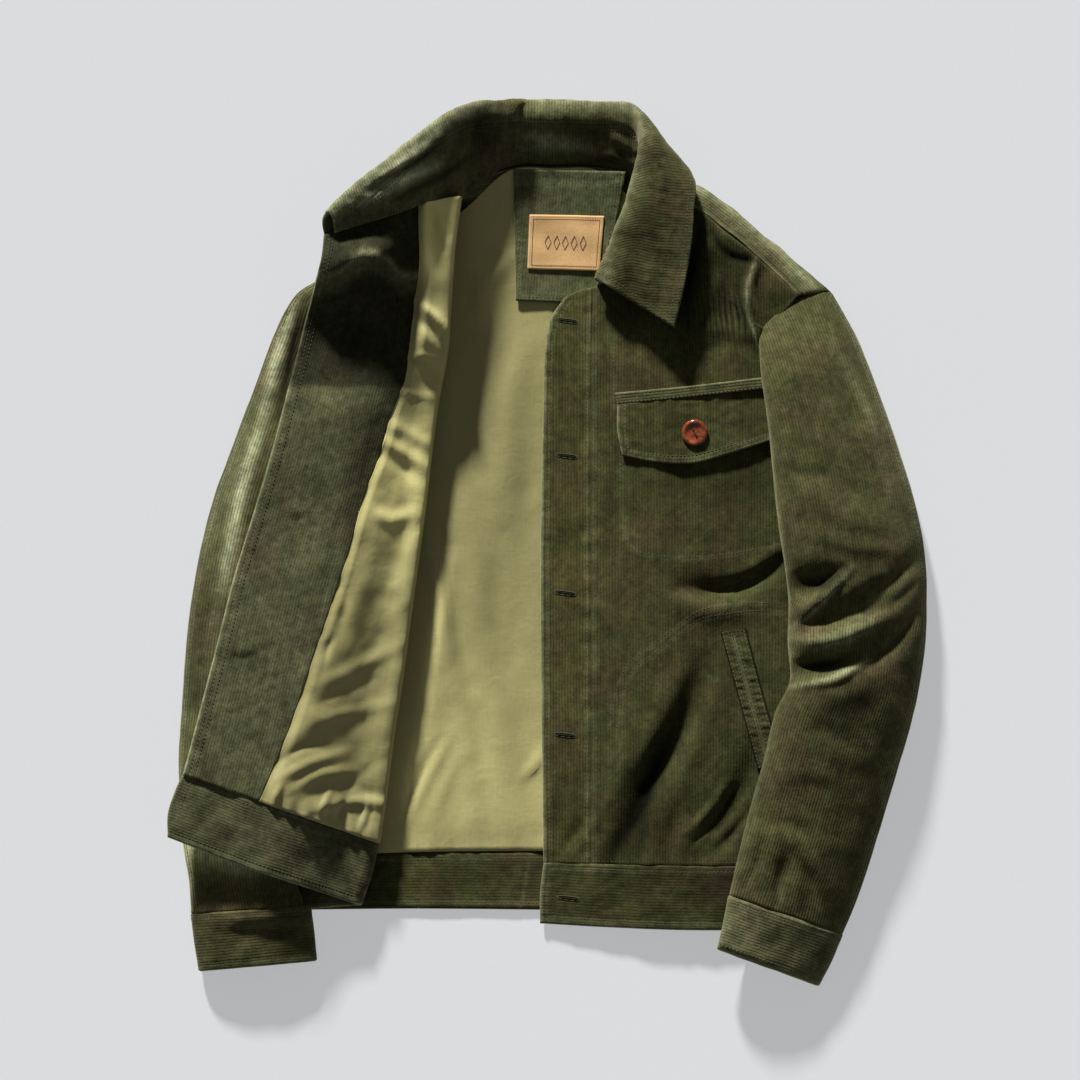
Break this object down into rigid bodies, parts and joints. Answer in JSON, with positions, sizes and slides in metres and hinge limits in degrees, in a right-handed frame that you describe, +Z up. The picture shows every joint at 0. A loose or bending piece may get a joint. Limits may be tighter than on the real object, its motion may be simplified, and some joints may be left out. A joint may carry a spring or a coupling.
{
  "type": "corduroy jacket",
  "caption": "Button-front corduroy jacket with a turned-down collar, laid flat on its back and opened, its right front folded back over the sleeve.",
  "frame": {"origin": "middle of the jacket as it lies, on the surface under it", "axes": "+X towards the wearer's left, +Y from the hem to the collar, +Z up from the surface"},
  "size_m": [0.6655, 0.7787, 0.0894],
  "materials": {
    "corduroy": "matte olive corduroy, vertical wales",
    "lining": "plain light olive lining, slight sheen",
    "label": "matte tan woven label",
    "button": "glossy tortoise brown"
  },
  "bodies": {
    "root": {"back": "corduroy", "back_waistband": "corduroy", "yoke": "corduroy", "left_front": "corduroy", "left_placket": "corduroy", "left_waistband": "corduroy", "chest_welt": "corduroy", "chest_flap": "corduroy", "side_welts": "corduroy", "right_front": "corduroy", "right_facing": "corduroy", "right_waistband": "corduroy", "left_sleeve_top": "corduroy", "left_sleeve_under": "corduroy", "left_cuff": "corduroy", "right_sleeve_top": "corduroy", "right_sleeve_under": "corduroy", "right_cuff": "corduroy", "collar_stand": "corduroy", "collar_leaf": "corduroy", "neck_patch": "corduroy", "back_lining": "lining", "right_lining": "lining", "neck_label": "label", "chest_button": "button", "front_button_1": "button", "front_button_2": "button", "front_button_3": "button", "front_button_4": "button", "front_button_5": "button"}
  },
  "joints": []
}
